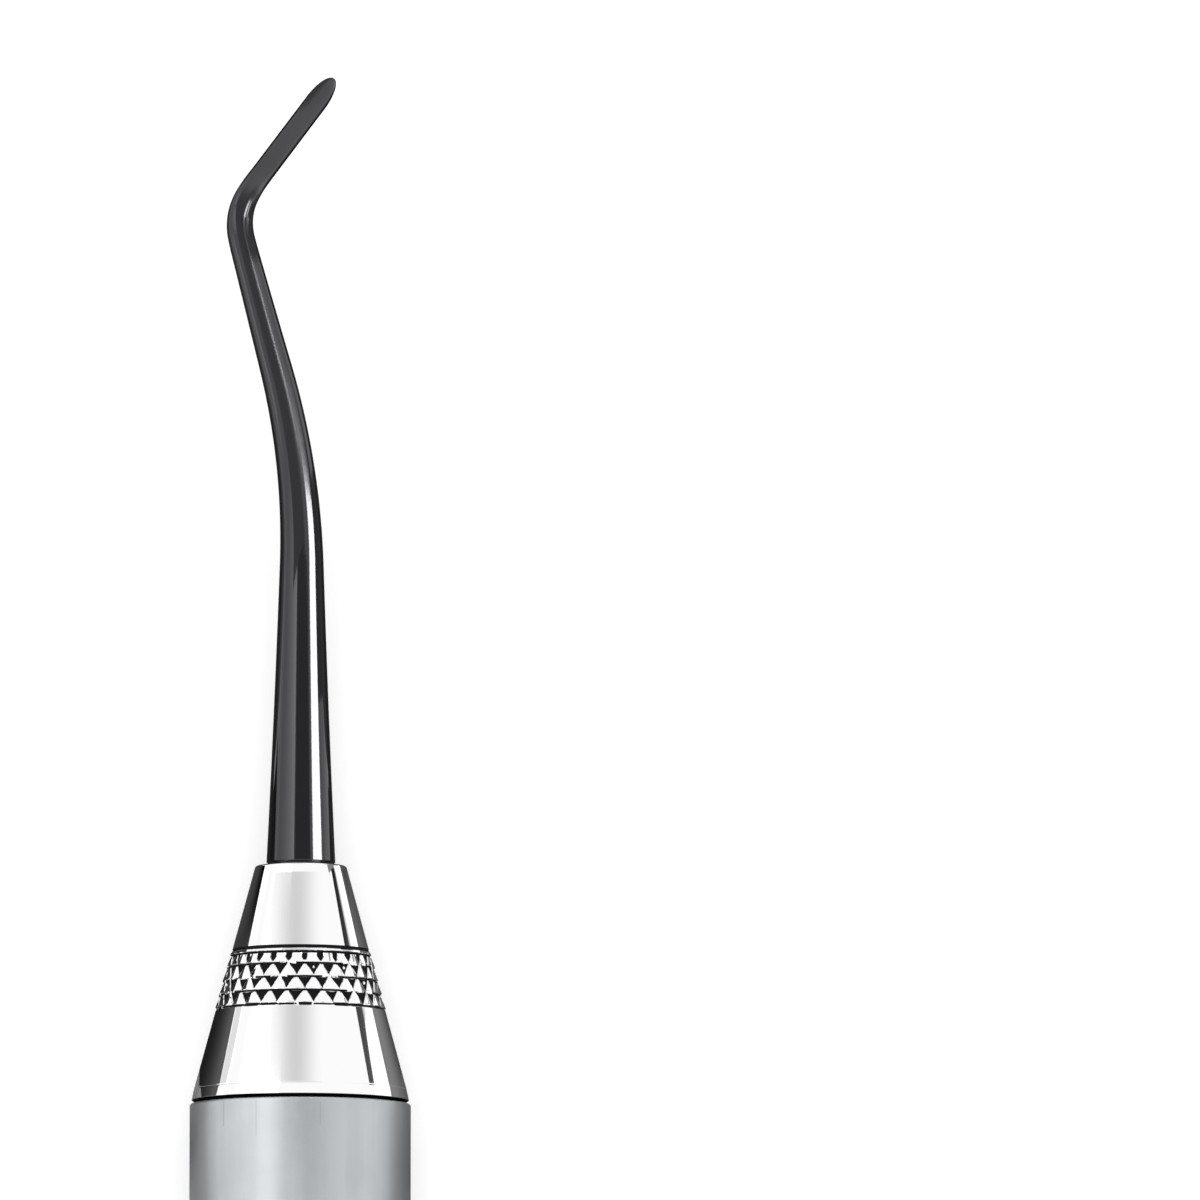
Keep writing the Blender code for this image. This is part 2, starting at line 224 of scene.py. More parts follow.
def knurlPocketsAndShade(label, column, row, across, fromCrest):
    # Where the band is painted dark, as painted shade and painted dark reflections; the same marks set
    # where the relief sinks. The side of each tooth towards the handle holds a pocket with three corners
    # and hollow sides; thin lines join some of the pockets' corners or run along grooves, and broken lines
    # follow both edges of the band.
    k, look = knurl, knurlLooks[label]
    lastRow = k["rows"] - 1
    grain = np.random.default_rng(look["seed"]).uniform(-1, 1, (2 * k["teeth"], k["rows"] + 4, 6))
    toothColumn = np.round(column - across).astype(int) % (2 * k["teeth"])
    toothRow = np.clip(np.round(row - fromCrest).astype(int), -2, k["rows"] + 1)
    own = grain[toothColumn, toothRow + 2]
    size, start, lean, spare = (own[..., i] * k["unevenness"] for i in range(4))

    down = -fromCrest
    halfWidth = np.clip(1 - down, 0, 1) ** k["hollow"] * (k["pocketSize"] + size)
    top = k["pocketStart"] + 0.5 * start + k["bulge"] * (1 - across ** 2)
    paintedShade = soft(halfWidth - np.abs(across + lean * down), 0.10) * soft(down - top, 0.08)
    spot = soft(0.16 - np.hypot(across + lean, 1.2 * (down - 0.42)), 0.08) * (own[..., 3] > 0.72)
    paintedShade = paintedShade * (1 - spot)
    if look["bars"]:
        barWidth = soft(0.42 + size - np.abs(across + 2 * lean * (down - 0.6)), 0.10)
        barLength = soft(0.30 + 0.5 * start - np.abs(down - 0.62), 0.08)
        paintedShade = np.where(toothRow == lastRow, barWidth * barLength, paintedShade)
    inBand = soft(row - 0.02, 0.06) * soft(lastRow - 0.1 - row, 0.06)

    joinRow = np.round(row + k["pocketStart"] + 0.05)
    segment = np.floor((column + joinRow) / 2).astype(int) % (2 * k["teeth"])
    rowIndex = np.clip(joinRow.astype(int), 0, k["rows"])
    isJoined = (grain[segment, rowIndex, 4] < 2 * look["joined"] - 1) & (joinRow >= 1)
    isJoined &= joinRow <= (lastRow - 1 if look["bars"] else lastRow)
    join = soft(0.065 - np.abs(row - joinRow + k["pocketStart"] + 0.05), 0.06) * isJoined

    leftHalf = column > k["teeth"] - 0.5
    groove = np.where(leftHalf, (column - row) / 2, (column + row) / 2)
    isLine = grain[np.floor(groove).astype(int) % (2 * k["teeth"]), 0, 5] < 2 * look["grooveLines"] - 1
    line = soft(0.13 + 0.5 * spare - 2 * np.abs(groove - np.floor(groove) - 0.5), 0.08) * isLine

    wave = look["scallop"] * np.abs(np.cos(math.pi * (column - lastRow) / 2))
    fromNoseEdge = np.abs(row - lastRow - 0.15 + look["scallop"] - wave)
    noseEdge = soft(look["edgeLine"] + 0.3 * spare - fromNoseEdge, 0.05)
    innerEdge = soft(0.06 + 0.2 * spare - np.abs(row - lastRow + 0.26), 0.04) * look["bars"]
    handleEdge = soft(0.08 + 0.3 * spare - np.abs(row + 0.13), 0.05)
    handleEdge = handleEdge * soft(0.92 + 2 * start - np.abs(across), 0.1)
    dark = np.maximum.reduce([paintedShade * inBand, join * inBand, line * inBand, innerEdge])
    return dark, np.maximum(noseEdge, handleEdge)


def knurlRelief(label, x, column):
    # Height over the cone and painted darkness, which is painted shade. Crests lie where column plus row
    # is even, and the height falls evenly from each crest to the two crossing grooves round it.
    k = knurl
    row = (x - k["place"] - k["runOut"]) / knurlPitch()
    a, b = (column + row) / 2, (column - row) / 2
    offA, offB = a - np.round(a), b - np.round(b)
    toGroove = 2 * np.maximum(np.abs(offA), np.abs(offB))
    height = k["crest"] - (k["crest"] + k["groove"]) * toGroove
    dark, edges = knurlPocketsAndShade(label, column, row, offA + offB, offA - offB)
    lastRow = k["rows"] - 1
    edge = k["runOut"] / knurlPitch()
    fade = np.clip((row + edge) / edge, 0, 1) * np.clip((lastRow + edge - row) / edge, 0, 1)
    if knurlLooks[label]["bars"]:
        plain = np.clip((row - lastRow + 0.30) / 0.06, 0, 1)  # the smooth ring towards the nose
        height = height * (1 - plain) + 0.5 * k["crest"] * plain
    relief = height * fade - k["pocketDepth"] * np.maximum(dark * fade, 0.4 * edges)
    return relief, np.maximum(dark, edges)


def coneOutline():
    # Place along the axis and radius, from the spigot's end to the bottom of the tang's hole: straight
    # lines between points, a quarter round at the nose, and support points close beside each crease.
    c, k = cone, knurl
    spigotEnd = -c["seamGap"] - c["spigotLength"]
    roundX = c["length"] - c["noseRound"]
    roundRadius = coneRadius(roundX) - c["noseRound"] / math.cos(coneSlope)
    crease = c["landLength"]
    besideCrease = np.array([-0.05, -0.03, 0.0, 0.03, 0.05]) * mm
    landX = np.concatenate(((0.02 * mm, 0.04 * mm), crease + besideCrease))
    landRadius = np.interp(landX, (0, crease), (c["baseRadius"] - c["landDrop"], coneRadius(crease)))
    landRadius[-3:] = coneRadius(landX[-3:])
    landRadius[-3] -= c["creaseDepth"]
    land = np.vstack(([[0.0, landRadius[0] - 0.02 * mm]], np.stack((landX, landRadius), axis=1)))
    rows = int(round((k["rows"] - 1) * k["cells"] * k["cellStretch"]))
    bandX = np.linspace(k["place"], bandEnd(), rows + 1)
    beside = np.array([0.01, 0.03, 0.3]) * mm  # support points close to the band
    before = np.concatenate(((0.6 * mm, 2.2 * mm), (k["place"] - beside)[::-1]))
    after = np.concatenate((bandEnd() + beside, (8.6 * mm, 10.2 * mm)))
    body = np.concatenate((before, bandX, after))
    nose = quarterRound(roundX, roundRadius, c["noseRound"], 90 - math.degrees(coneSlope), 0)
    hole = c["length"] - c["boreDepth"]
    drillPoint = c["boreRadius"] / math.tan(math.radians(c["drillPointAngle"] / 2))
    start = [[spigotEnd, c["spigotRadius"] - c["spigotChamfer"]],
             [spigotEnd + c["spigotChamfer"], c["spigotRadius"]], [0.0, c["spigotRadius"]]]
    finish = [[c["length"], c["boreRadius"]], [hole, c["boreRadius"]]]
    outline = np.vstack((start, land, np.stack((body, coneRadius(body)), axis=1), nose, finish))
    return outline, (spigotEnd, hole - drillPoint)


def makeCone(label, material):
    # A turned outline with the knurl's relief added to its radius inside the band.
    side, baseX = ends[label], coneBase(label)
    outline, poles = coneOutline()
    columns = 2 * knurl["teeth"] * knurl["cells"]
    column = np.arange(columns) / knurl["cells"]
    around = (column + 0.5) * math.pi / knurl["teeth"]
    x = np.broadcast_to(outline[:, :1], (len(outline), columns))
    height, paintedShade = knurlRelief(label, x, column)
    outside = (outline[:, 1] > cone["boreRadius"] * 1.01)[:, None]
    inBand = outside & (x >= knurl["place"]) & (x <= bandEnd())
    radius = outline[:, 1:] + np.where(inBand, height, 0)
    points = placed(x, radius * np.sin(around), -radius * np.cos(around), baseX, side).reshape(-1, 3)
    points = np.vstack((points, [[baseX + side * pole, 0, axisHeight] for pole in poles]))
    # Painted shade: the knurl's dark marks, the spigot and the base's face in the seam, and a faint line
    # at the crease.
    inSeam = outline[:, :1] <= 0.0  # the spigot and the base's face lie dark in the seam
    crease = 0.45 * np.isclose(outline[:, :1], cone["landLength"]) * (0.8 + 0.3 * np.sin(3 * around + 1.5))
    paintedShadeAtPoints = np.append(np.where(inBand, paintedShade, np.where(inSeam, 1.0, crease)).ravel(), (1, 1))
    count = len(outline) * columns
    first, last = np.arange(columns), count - columns + np.arange(columns)
    faces = [gridQuads(len(outline), columns, wrapRows=False)]
    faces += [fan(count, first, True), fan(count + 1, last, False)]
    node = label + "_end_cone"
    return meshPiece(label + "Cone", points, faces, {"paintedShade": paintedShadeAtPoints}, material, node)


# Working ends

tang = {"diameter": 2.4 * mm, "length": 8.0 * mm, "chamfer": 0.2 * mm, "shoulderChamfer": 0.08 * mm}

# A path's pieces are straights, with a length in mm, and bends, with an angle and a radius in mm: the
# first straight, the bend away, the second straight, the bend back in three with the sharp one in its
# middle, and the blade.
workingEnds = {
    "narrow": {
        "diameters": (3.13 * mm, 1.94 * mm, 1.22 * mm),  # at the shoulder, midway and at the sharp bend
        "path": (
            (13.6, 0, 0), (0, 15.0, 34.9), (5.6, 0, 0),
            (0, -2.8, 13.7), (0, -40.2, 2.75), (0, -8.6, 6.2), (5.8, 0, 0),
        ),
        "bladeWidths": (1.02 * mm, 1.01 * mm),
        "bladeThicknesses": (0.46 * mm, 0.26 * mm),
        "tipLength": 1.4 * mm,
        "blend": 3.4 * mm,
        "edgeShade": 0.0,  # how dark the blade's outer side is at its root
        "shadeReach": 0.6,  # how far that shade reaches across the blade
        "noGlossShadeStrength": 1.0,  # how strongly gloss is taken off and shade painted on the bend's inner side and the tip's outer side
    },
    "wide": {
        "diameters": (3.22 * mm, 1.96 * mm, 1.10 * mm),
        "path": (
            (13.8, 0, 0), (0, 19.9, 34.2), (3.45, 0, 0),
            (0, -15.4, 6.5), (0, -41.5, 2.33), (0, -5.4, 10.2), (5.1, 0, 0),
        ),
        "bladeWidths": (1.43 * mm, 1.38 * mm),
        "bladeThicknesses": (0.48 * mm, 0.26 * mm),
        "tipLength": 1.5 * mm,
        "blend": 2.1 * mm,
        "edgeShade": 0.7,
        "shadeReach": 0.1,
        "noGlossShadeStrength": 0.0,
    },
}
# Where shade is painted on the coating, and where its gloss is taken off to bound the bend's glint:
# reaches before the end and the sharp bend, how strong each is, and the share of the blend into the blade
# at which the bend's glint starts and ends.
bladeShade = {
    "outerReach": 2.5 * mm,
    "outerEase": 1.4 * mm,
    "tipReach": 1.6 * mm,
    "tipShade": 0.6,
    "bendReach": 1.6 * mm,
    "bendEase": 0.8 * mm,
    "glintStart": 0.12,
    "glintEnd": 0.58,
    # how strong the painted shade without gloss is past the glint and on the tip's outer side
    "pastGlintShade": 0.8,
    "tipOuterShade": 0.75,
}
bladeForm = {
    "flatness": 3.2,  # power of the blade's rounded section, where 2 is an ellipse
    "tipBluntness": 6.0,
    "columns": 72,
    "stations": 420,
    "tipStations": 40,
}


def pathPieces(path):
    # Each piece's length and turn: a bend is as long as its angle times its radius.
    pieces = []
    for length, angle, radius in path:
        turn = math.radians(angle)
        pieces.append((length * mm + abs(turn) * radius * mm, turn))
    return pieces


def alongPath(pieces, distance):
    # Sum over the pieces of the chord of the arc walked in each, at the heading of its middle.
    x, y = np.zeros_like(distance), np.zeros_like(distance)
    heading, start = np.zeros_like(distance), 0.0
    for length, turn in pieces:
        run = np.clip(distance - start, 0, length)
        bend = turn * run / length
        chord = run * np.sinc(bend / math.tau)
        x += chord * np.cos(heading + bend / 2)
        y += chord * np.sin(heading + bend / 2)
        heading = heading + bend
        start += length
    return x, y, heading


def smoothStep(share):
    # An eased rise from 0 to 1: three times the share's square less twice its cube.
    share = np.clip(share, 0, 1)
    return share * share * (3 - 2 * share)


def makeWorkingEnd(label, material):
    # A rounded section carried along the path. Its size follows a parabola through the three
    # diameters up to the sharp bend, and then blends into the flat blade, whose end is half an
    # ellipse in plan.
    side, w, form = ends[label], workingEnds[label], bladeForm
    low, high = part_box(label + "_working_end")
    shoulderX = low.x + tang["length"] if side > 0 else high.x - tang["length"]
    pieces = pathPieces(w["path"])
    total = sum(length for length, turn in pieces)
    bendStart = sum(length for length, turn in pieces[:4])  # the sharp bend is the fifth piece
    body = np.linspace(0, total - w["tipLength"], form["stations"])
    tipShare = np.sin(np.linspace(0, math.pi / 2, form["tipStations"] + 1)[1:-1])
    s = np.concatenate((body, total - w["tipLength"] + w["tipLength"] * tipShare))

    shoulder, middle, atBend = w["diameters"]
    t = np.clip(s / bendStart, 0, 1)
    roundSize = shoulder * (1 - t) * (1 - 2 * t) + 4 * middle * t * (1 - t) + atBend * t * (2 * t - 1)
    beyond = np.clip(s - bendStart, 0, None)
    flat = smoothStep(beyond / w["blend"])
    along = beyond / (total - bendStart)
    bladeWidth = np.interp(along, (0, 1), w["bladeWidths"])
    bladeThickness = np.interp(along, (0, 1), w["bladeThicknesses"])
    inTip = np.clip(1 - (total - s) / w["tipLength"], 0, 1)
    width = (roundSize + (bladeWidth - roundSize) * flat) * np.sqrt(1 - inTip ** 2)
    thickness = roundSize + (bladeThickness - roundSize) * flat
    thickness = thickness * np.sqrt(1 - inTip ** form["tipBluntness"])
    exponent = (2 / (2 + (form["flatness"] - 2) * flat))[:, None]

    around = (np.arange(form["columns"]) + 0.5) * math.tau / form["columns"]
    c, q = np.cos(around), np.sin(around)
    across = np.sign(c) * np.abs(c) ** exponent * width[:, None] / 2
    up = np.sign(q) * np.abs(q) ** exponent * thickness[:, None] / 2
    x, y, heading = (v[:, None] for v in alongPath(pieces, s))
    shankX, shankY = x - across * np.sin(heading), y + across * np.cos(heading)

    # The tang and the shoulder's face come before the first station.
    rootX = np.array([-tang["length"], -tang["length"] + tang["chamfer"], 0, 0, tang["shoulderChamfer"]])
    rootSize = np.array([tang["diameter"] - 2 * tang["chamfer"], tang["diameter"], tang["diameter"],
                         shoulder - 2 * tang["shoulderChamfer"], shoulder])
    s = np.concatenate((rootX, s[1:]))
    flat = np.concatenate((np.zeros(len(rootX)), flat[1:]))
    rootXs = np.broadcast_to(rootX[:, None], (len(rootX), len(around)))
    allX = np.vstack((rootXs, shankX[1:]))
    allY = np.vstack((rootSize[:, None] / 2 * c, shankY[1:]))
    allZ = np.vstack((rootSize[:, None] / 2 * q, up[1:]))
    points = placed(allX, allY, allZ, shoulderX, side).reshape(-1, 3)
    endX, endY, _ = alongPath(pieces, np.array([total]))
    poleX, poleY = np.array([-tang["length"], endX[0]]), np.array([0, endY[0]])
    poles = placed(poleX, poleY, np.zeros(2), shoulderX, side)
    points = np.vstack((points, poles))

    rows, columns = allX.shape
    count = rows * columns
    first, last = np.arange(columns), count - columns + np.arange(columns)
    faces = [gridQuads(rows, columns, wrapRows=False)]
    faces += [fan(count, first, True), fan(count + 1, last, False)]

    # Painted shade: the blade's outer side and its tip are darker. Painted shade without gloss: the gloss
    # is taken off the tip's outer side and the bend's inner side, but for the short stretch that glints,
    # so that the glint's extent is painted.
    look, fromEnd, fromBend = bladeShade, s - total, s - bendStart
    nearTip = smoothStep((fromEnd + look["outerReach"]) / look["outerEase"])[:, None]
    outerSide = flat[:, None] * (w["edgeShade"] + (1 - w["edgeShade"]) * nearTip)
    outerSide = outerSide * smoothStep((c + w["shadeReach"]) / 1.3)
    atTip = smoothStep((fromEnd + look["tipReach"]) / look["tipReach"])[:, None]
    shade = np.maximum(outerSide, look["tipShade"] * atTip)
    nearBend = smoothStep((fromBend + look["bendReach"]) / look["bendEase"])
    nearBend = nearBend * smoothStep((0.95 - flat) / 0.3)
    glint = smoothStep((flat - look["glintStart"]) / 0.08) * smoothStep((look["glintEnd"] - flat) / 0.10)
    besideGlint = (nearBend * glint)[:, None] * smoothStep((-c - 0.40) / 0.16)
    pastGlint = (nearBend * (1 - glint))[:, None] * smoothStep((-c - 0.02) / 0.18)
    onTip = look["tipOuterShade"] * nearTip * smoothStep((c - 0.1) / 0.5)
    paintedShadeNoGloss = w["noGlossShadeStrength"] * np.maximum(besideGlint + look["pastGlintShade"] * pastGlint, onTip)
    attributes = {
        "paintedShadeNoGloss": np.append(paintedShadeNoGloss.ravel(), (0, 0)),
        "shade": np.append(shade.ravel(), (0, look["tipShade"])),
        "along": np.append(np.repeat(s / mm, columns), (-tang["length"] / mm, total / mm)),
        "blade": np.append(np.repeat(flat, columns), (0, 1)),
        "rim": np.append(np.tile(np.abs(c), rows), (0, 0)),
    }
    node = label + "_working_end"
    return meshPiece(label + "ShankAndBlade", points, faces, attributes, material, node)


# Shader nodes

class Signal:
    # A node's output. Sums and products of signals and numbers add Math nodes.
    def __init__(self, tree, socket):
        self.tree, self.socket = tree, socket

    def __add__(self, other):
        return self.tree.maths("ADD", self, other)

    def __radd__(self, other):
        return self.tree.maths("ADD", other, self)

    def __sub__(self, other):
        return self.tree.maths("SUBTRACT", self, other)

    def __rsub__(self, other):
        return self.tree.maths("SUBTRACT", other, self)

    def __mul__(self, other):
        return self.tree.maths("MULTIPLY", self, other)

    def __rmul__(self, other):
        return self.tree.maths("MULTIPLY", other, self)

    def __truediv__(self, other):
        return self.tree.maths("DIVIDE", self, other)


class Tree:
    # The nodes of one material, floor or world.
    def __init__(self, owner):
        owner.use_nodes = True
        self.nodes, self.links = owner.node_tree.nodes, owner.node_tree.links
        self.nodes.clear()

    def node(self, kind, settings=None, sockets=None, output=0):
        # Settings come first, because some of them change the node's sockets.
        made = self.nodes.new("ShaderNode" + kind)
        for name, value in (settings or {}).items():
            setattr(made, name, value)
        for name, value in (sockets or {}).items():
            if isinstance(value, Signal):
                self.links.new(value.socket, made.inputs[name])
            else:
                made.inputs[name].default_value = value
        return Signal(self, made.outputs[output]) if len(made.outputs) else None

    def attribute(self, name):
        # A value that the mesh holds at each point.
        return self.node("Attribute", {"attribute_name": name}, output=2)

    def maths(self, operation, *values):
        return self.node("Math", {"operation": operation}, dict(enumerate(values)))

    def mix(self, factor, a, b):
        # Colour a where the factor is 0 and b where it is 1.
        return self.node("Mix", {"data_type": "RGBA"}, {0: factor, 6: a, 7: b}, output=2)

    def smooth(self, value, low, high):
        # 0 below low, 1 above high, eased between them.
        sockets = {0: value, 1: low, 2: high, 3: 0.0, 4: 1.0}
        return self.node("MapRange", {"interpolation_type": "SMOOTHSTEP"}, sockets)

    def place(self, scale=(1, 1, 1)):
        # Object coordinates in mm, stretched by a scale along each axis.
        coordinates = self.node("TexCoord", output=3)
        return self.node("Mapping", {}, {"Vector": coordinates, "Scale": tuple(1000 * v for v in scale)})

    def noise(self, vector, size, detail=2.0, roughness=0.5):
        # Soft noise with spots of about the given size in mm.
        sockets = {"Vector": vector, "Scale": 1 / size, "Detail": detail, "Roughness": roughness}
        return self.node("TexNoise", {}, sockets)

    def hairline(self, place, start, end, width):
        # 1 on a line seen from above and 0 beside it: the distance from the nearest point of the line.
        run = (end[0] - start[0], end[1] - start[1], 0)
        flat = self.vector("MULTIPLY", place, (1, 1, 0))
        offset = self.vector("SUBTRACT", flat, (start[0], start[1], 0))
        share = self.vector("DOT_PRODUCT", offset, run, output=1) / (run[0] ** 2 + run[1] ** 2)
        share = self.node("Clamp", {}, {0: share})
        nearest = self.node("VectorMath", {"operation": "SCALE"}, {0: run, 3: share})
        distance = self.vector("DISTANCE", offset, nearest, output=1)
        return 1 - self.smooth(distance, 0.4 * width, width)

    def vector(self, operation, a, b, output=0):
        # Two vectors joined by an operation, whose number comes out of output 1.
        return self.node("VectorMath", {"operation": operation}, {0: a, 1: b}, output)

    def bump(self, height, depth, distance):
        # Normals of a relief that is height times a distance in metres, with depth as its strength.
        return self.node("Bump", {}, {"Height": height, "Strength": depth, "Distance": distance})

    def end(self, kind, shader):
        # The shader goes into the first socket of an output node.
        self.node(kind, {}, {0: shader})


satin = {
    "color": (0.505, 0.525, 0.540, 1.0),
    "paleColor": (0.560, 0.580, 0.595, 1.0),
    "scratchColor": (0.22, 0.22, 0.22, 1.0),
    "scratchWidth": 0.035,
    "roughness": 0.40,
    # Hairlines on the upper side near both ends, from and to a place in mm, and their strength.
    "hairlines": (
        ((-39.5, 0.09), (-40.46, -0.24), 0.8), ((-40.46, -0.24), (-40.95, -0.35), 0.8),
        ((-40.1, -0.12), (-39.8, -0.42), 0.5), ((-40.46, 1.52), (-40.92, 1.06), 0.6),
        ((-39.76, 1.10), (-40.13, 0.83), 0.6), ((-40.6, 1.9), (-40.75, 1.2), 0.4),
        ((41.0, 3.44), (39.9, 3.44), 0.35), ((41.0, 1.98), (39.4, 1.98), 0.25),
        ((40.9, -0.9), (39.9, -0.9), 0.2),
    ),
}


def satinSteel():
    # Even matt grain, faint streaks along the handle and a few smudges.
    material = bpy.data.materials.new("satinSteel")
    tree = Tree(material)
    streaks = tree.noise(tree.place((0.05, 1, 1)), 0.8, detail=3.0)
    clouds = tree.noise(tree.place(), 3.0, detail=3.0, roughness=0.6)
    grain = tree.noise(tree.place((0.4, 1, 1)), 0.06, detail=2.0)
    tone = tree.smooth(streaks * 0.5 + clouds * 0.5, 0.38, 0.62)
    color = tree.mix(tone, satin["color"], satin["paleColor"])
    place = tree.place()
    for start, end, strength in satin["hairlines"]:
        scratch = tree.hairline(place, start, end, satin["scratchWidth"]) * strength
        color = tree.mix(scratch, color, satin["scratchColor"])
    rough = (clouds - 0.5) * 0.10 + satin["roughness"]
    shader = tree.node("BsdfPrincipled", {}, {
        "Base Color": color, "Metallic": 1.0, "Roughness": rough,
        "Normal": tree.bump(grain, 0.25, 0.00002),
    })
    tree.end("OutputMaterial", shader)
    return material


polished = {
    "color": (0.965, 0.965, 0.97, 1.0),
    # the colour of painted shade in the knurl, the seam and the crease
    "paintedShadeColor": (0.006, 0.006, 0.008, 1.0),
    "roughness": 0.035,
}


def polishedSteel():
    # Mirror polish, and painted shade: dull dark knurl pockets and lines, the seam's faces and a line at
    # the crease.
    material = bpy.data.materials.new("polishedSteel")
    tree = Tree(material)
    inPaintedShade = tree.smooth(tree.attribute("paintedShade"), 0.25, 0.6)
    clouds = tree.noise(tree.place(), 1.5, detail=2.0)
    color = tree.mix(inPaintedShade, polished["color"], polished["paintedShadeColor"])
    rough = (clouds - 0.5) * 0.02 + polished["roughness"] + inPaintedShade * 0.5
    shader = tree.node("BsdfPrincipled", {}, {
        "Base Color": color, "Metallic": 1 - inPaintedShade, "Roughness": rough, "Specular IOR Level": 0.08,
    })
    tree.end("OutputMaterial", shader)
    return material


coating = {
    "color": (0.0078, 0.0074, 0.0088, 1.0),
    "bladeColor": (0.0245, 0.0250, 0.0270, 1.0),
    "shadeColor": (0.0045, 0.0040, 0.0055, 1.0),
    # the rim's colour is painted shade along the blade's edges
    "rimShadeColor": (0.006, 0.006, 0.0065, 1.0),
    # the colour painted, without gloss, as shade around the bend's glint and on the tip's outer side
    "noGlossShadeColor": (0.030, 0.029, 0.031, 1.0),
    "glossTint": (0.97, 0.96, 1.0, 1.0),
    "roughness": 0.07,
    "upperRoughness": 0.20,
    "bendRoughness": 0.11,
    "bladeRoughness": 0.42,
    "ior": 1.62,
    "upperStart": (14.0, 22.0),  # where the softer gloss sets in, in mm from the shoulder
    "bladeStart": (0.35, 0.95),  # where the blade's colour sets in, as shares of the blend
    "rimStart": (0.62, 0.86),  # where the dark rim sets in, as shares of the half width
}


def blackCoating():
    # Glossy near the cone, softer above the first bend, glossier again in the sharp bend, and matt on the
    # blade. The painted dark rim and the painted shade around the bend's glint and on the tip take a
    # second shader, without gloss.
    material = bpy.data.materials.new("blackCoating")
    tree = Tree(material)
    c = coating
    blade, paintedShadeNoGloss = tree.attribute("blade"), tree.attribute("paintedShadeNoGloss")
    onBlade = tree.smooth(blade, *c["bladeStart"])
    upper = tree.smooth(tree.attribute("along"), *c["upperStart"])
    # The blade's rim is painted dark: painted shade along its edges.
    onShadedRim = tree.smooth(tree.attribute("rim"), *c["rimStart"]) * tree.smooth(blade, 0.5, 1.0)
    clouds = tree.noise(tree.place(), 0.9, detail=3.0)
    peel = tree.noise(tree.place(), 0.25, detail=1.0)
    bladeColor = tree.mix(tree.attribute("shade"), c["bladeColor"], c["shadeColor"])
    color = tree.mix(onBlade, c["color"], bladeColor)
    inBend = tree.smooth(blade, 0.02, 0.12) - tree.smooth(blade, 0.45, 0.75)
    rough = (clouds - 0.5) * 0.05 + c["roughness"]
    rough = rough + upper * (c["upperRoughness"] - c["roughness"])
    rough = rough + onBlade * (c["bladeRoughness"] - c["upperRoughness"])
    rough = rough + inBend * (c["bendRoughness"] - c["upperRoughness"])
    glossy = tree.node("BsdfPrincipled", {}, {
        "Base Color": color, "Metallic": 0.0, "Roughness": rough, "IOR": c["ior"],
        "Specular Tint": c["glossTint"], "Normal": tree.bump(peel, 0.04, 0.00002),
    })
    # Painted shade without gloss: the dark rim, and the grey around the bend's glint and on the tip.
    edgeColor = tree.mix(paintedShadeNoGloss, c["rimShadeColor"], c["noGlossShadeColor"])
    edge = tree.node("BsdfPrincipled", {}, {
        "Base Color": edgeColor, "Roughness": 0.5, "Specular IOR Level": 0.0,
    })
    share = tree.maths("MAXIMUM", onShadedRim, paintedShadeNoGloss)
    tree.end("OutputMaterial", tree.node("MixShader", {}, {0: share, 1: glossy, 2: edge}))
    return material


materials = {"satin": satinSteel(), "polished": polishedSteel(), "black": blackCoating()}
pieces = {"handle": makeHandle(materials["satin"])}
for label in ends:
    pieces[label + "Cone"] = makeCone(label, materials["polished"])
    pieces[label + "End"] = makeWorkingEnd(label, materials["black"])


# Studio: a white floor under a white world, one large soft lamp, and cards that only gloss sees, which are
# painted reflections and painted shade

studio = {
    "floorSize": 6.0,
    "floorColor": (0.86, 0.86, 0.86, 1.0),
    "floorGlow": 0.35,
    "fill": 0.45,
    "lampSize": 2.4,
    "lampHeight": 2.2,
    "lampPower": 40.0,
}


def makeFloor():
    # A matt square at height 0, which glows a little where the camera or gloss sees it.
    s = studio
    mesh = bpy.data.meshes.new("floor")
    half = s["floorSize"] / 2
    corners = [(-half, -half, 0), (half, -half, 0), (half, half, 0), (-half, half, 0)]
    mesh.from_pydata(corners, [], [(0, 1, 2, 3)])
    floor = addObject("floor", mesh)
    material = bpy.data.materials.new("paleFloor")
    tree = Tree(material)
    seen = tree.node("LightPath", output=0)
    mirrored = tree.node("LightPath", output=3)
    strength = (seen + mirrored) * s["floorGlow"]
    glow = tree.node("Emission", {}, {"Color": (1, 1, 1, 1), "Strength": strength})
    matt = tree.node("BsdfDiffuse", {}, {"Color": s["floorColor"]})
    tree.end("OutputMaterial", tree.node("AddShader", {}, {0: matt, 1: glow}))
    mesh.materials.append(material)


def makeWorld():
    # White at strength 1 wherever it is seen, also in metal; weaker as a light on dull surfaces.
    world = bpy.data.worlds.new("studioWorld")
    bpy.context.scene.world = world
    tree = Tree(world)
    seen = tree.node("LightPath", output=0)
    mirrored = tree.node("LightPath", output=3)
    through = tree.node("LightPath", output=6)
    shown = tree.maths("MINIMUM", seen + mirrored + through, 1.0)
    strength = shown * (1 - studio["fill"]) + studio["fill"]
    tree.end("OutputWorld", tree.node("Background", {}, {"Color": (1, 1, 1, 1), "Strength": strength}))


def makeLamp():
    # A large soft lamp overhead, which no gloss and no camera sees.
    lamp = bpy.data.lights.new("overhead", "AREA")
    lamp.shape = "SQUARE"
    lamp.size = studio["lampSize"]
    lamp.energy = studio["lampPower"]
    holder = addObject("overhead", lamp)
    holder.location = (0, 0, studio["lampHeight"])
    holder.visible_glossy = holder.visible_camera = False


def cardMaterial():
    # Shines with each point's own brightness, a painted reflection, and lets through what its cover
    # leaves.
    material = bpy.data.materials.new("paintedReflectionCard")
    tree = Tree(material)
    brightness, cover = tree.attribute("brightness"), tree.attribute("cover")
    glow = tree.node("Emission", {}, {"Color": (1, 1, 1, 1), "Strength": brightness})
    clear = tree.node("BsdfTransparent")
    tree.end("OutputMaterial", tree.node("MixShader", {}, {0: cover, 1: clear, 2: glow}))
    material.cycles.emission_sampling = "NONE"
    return material


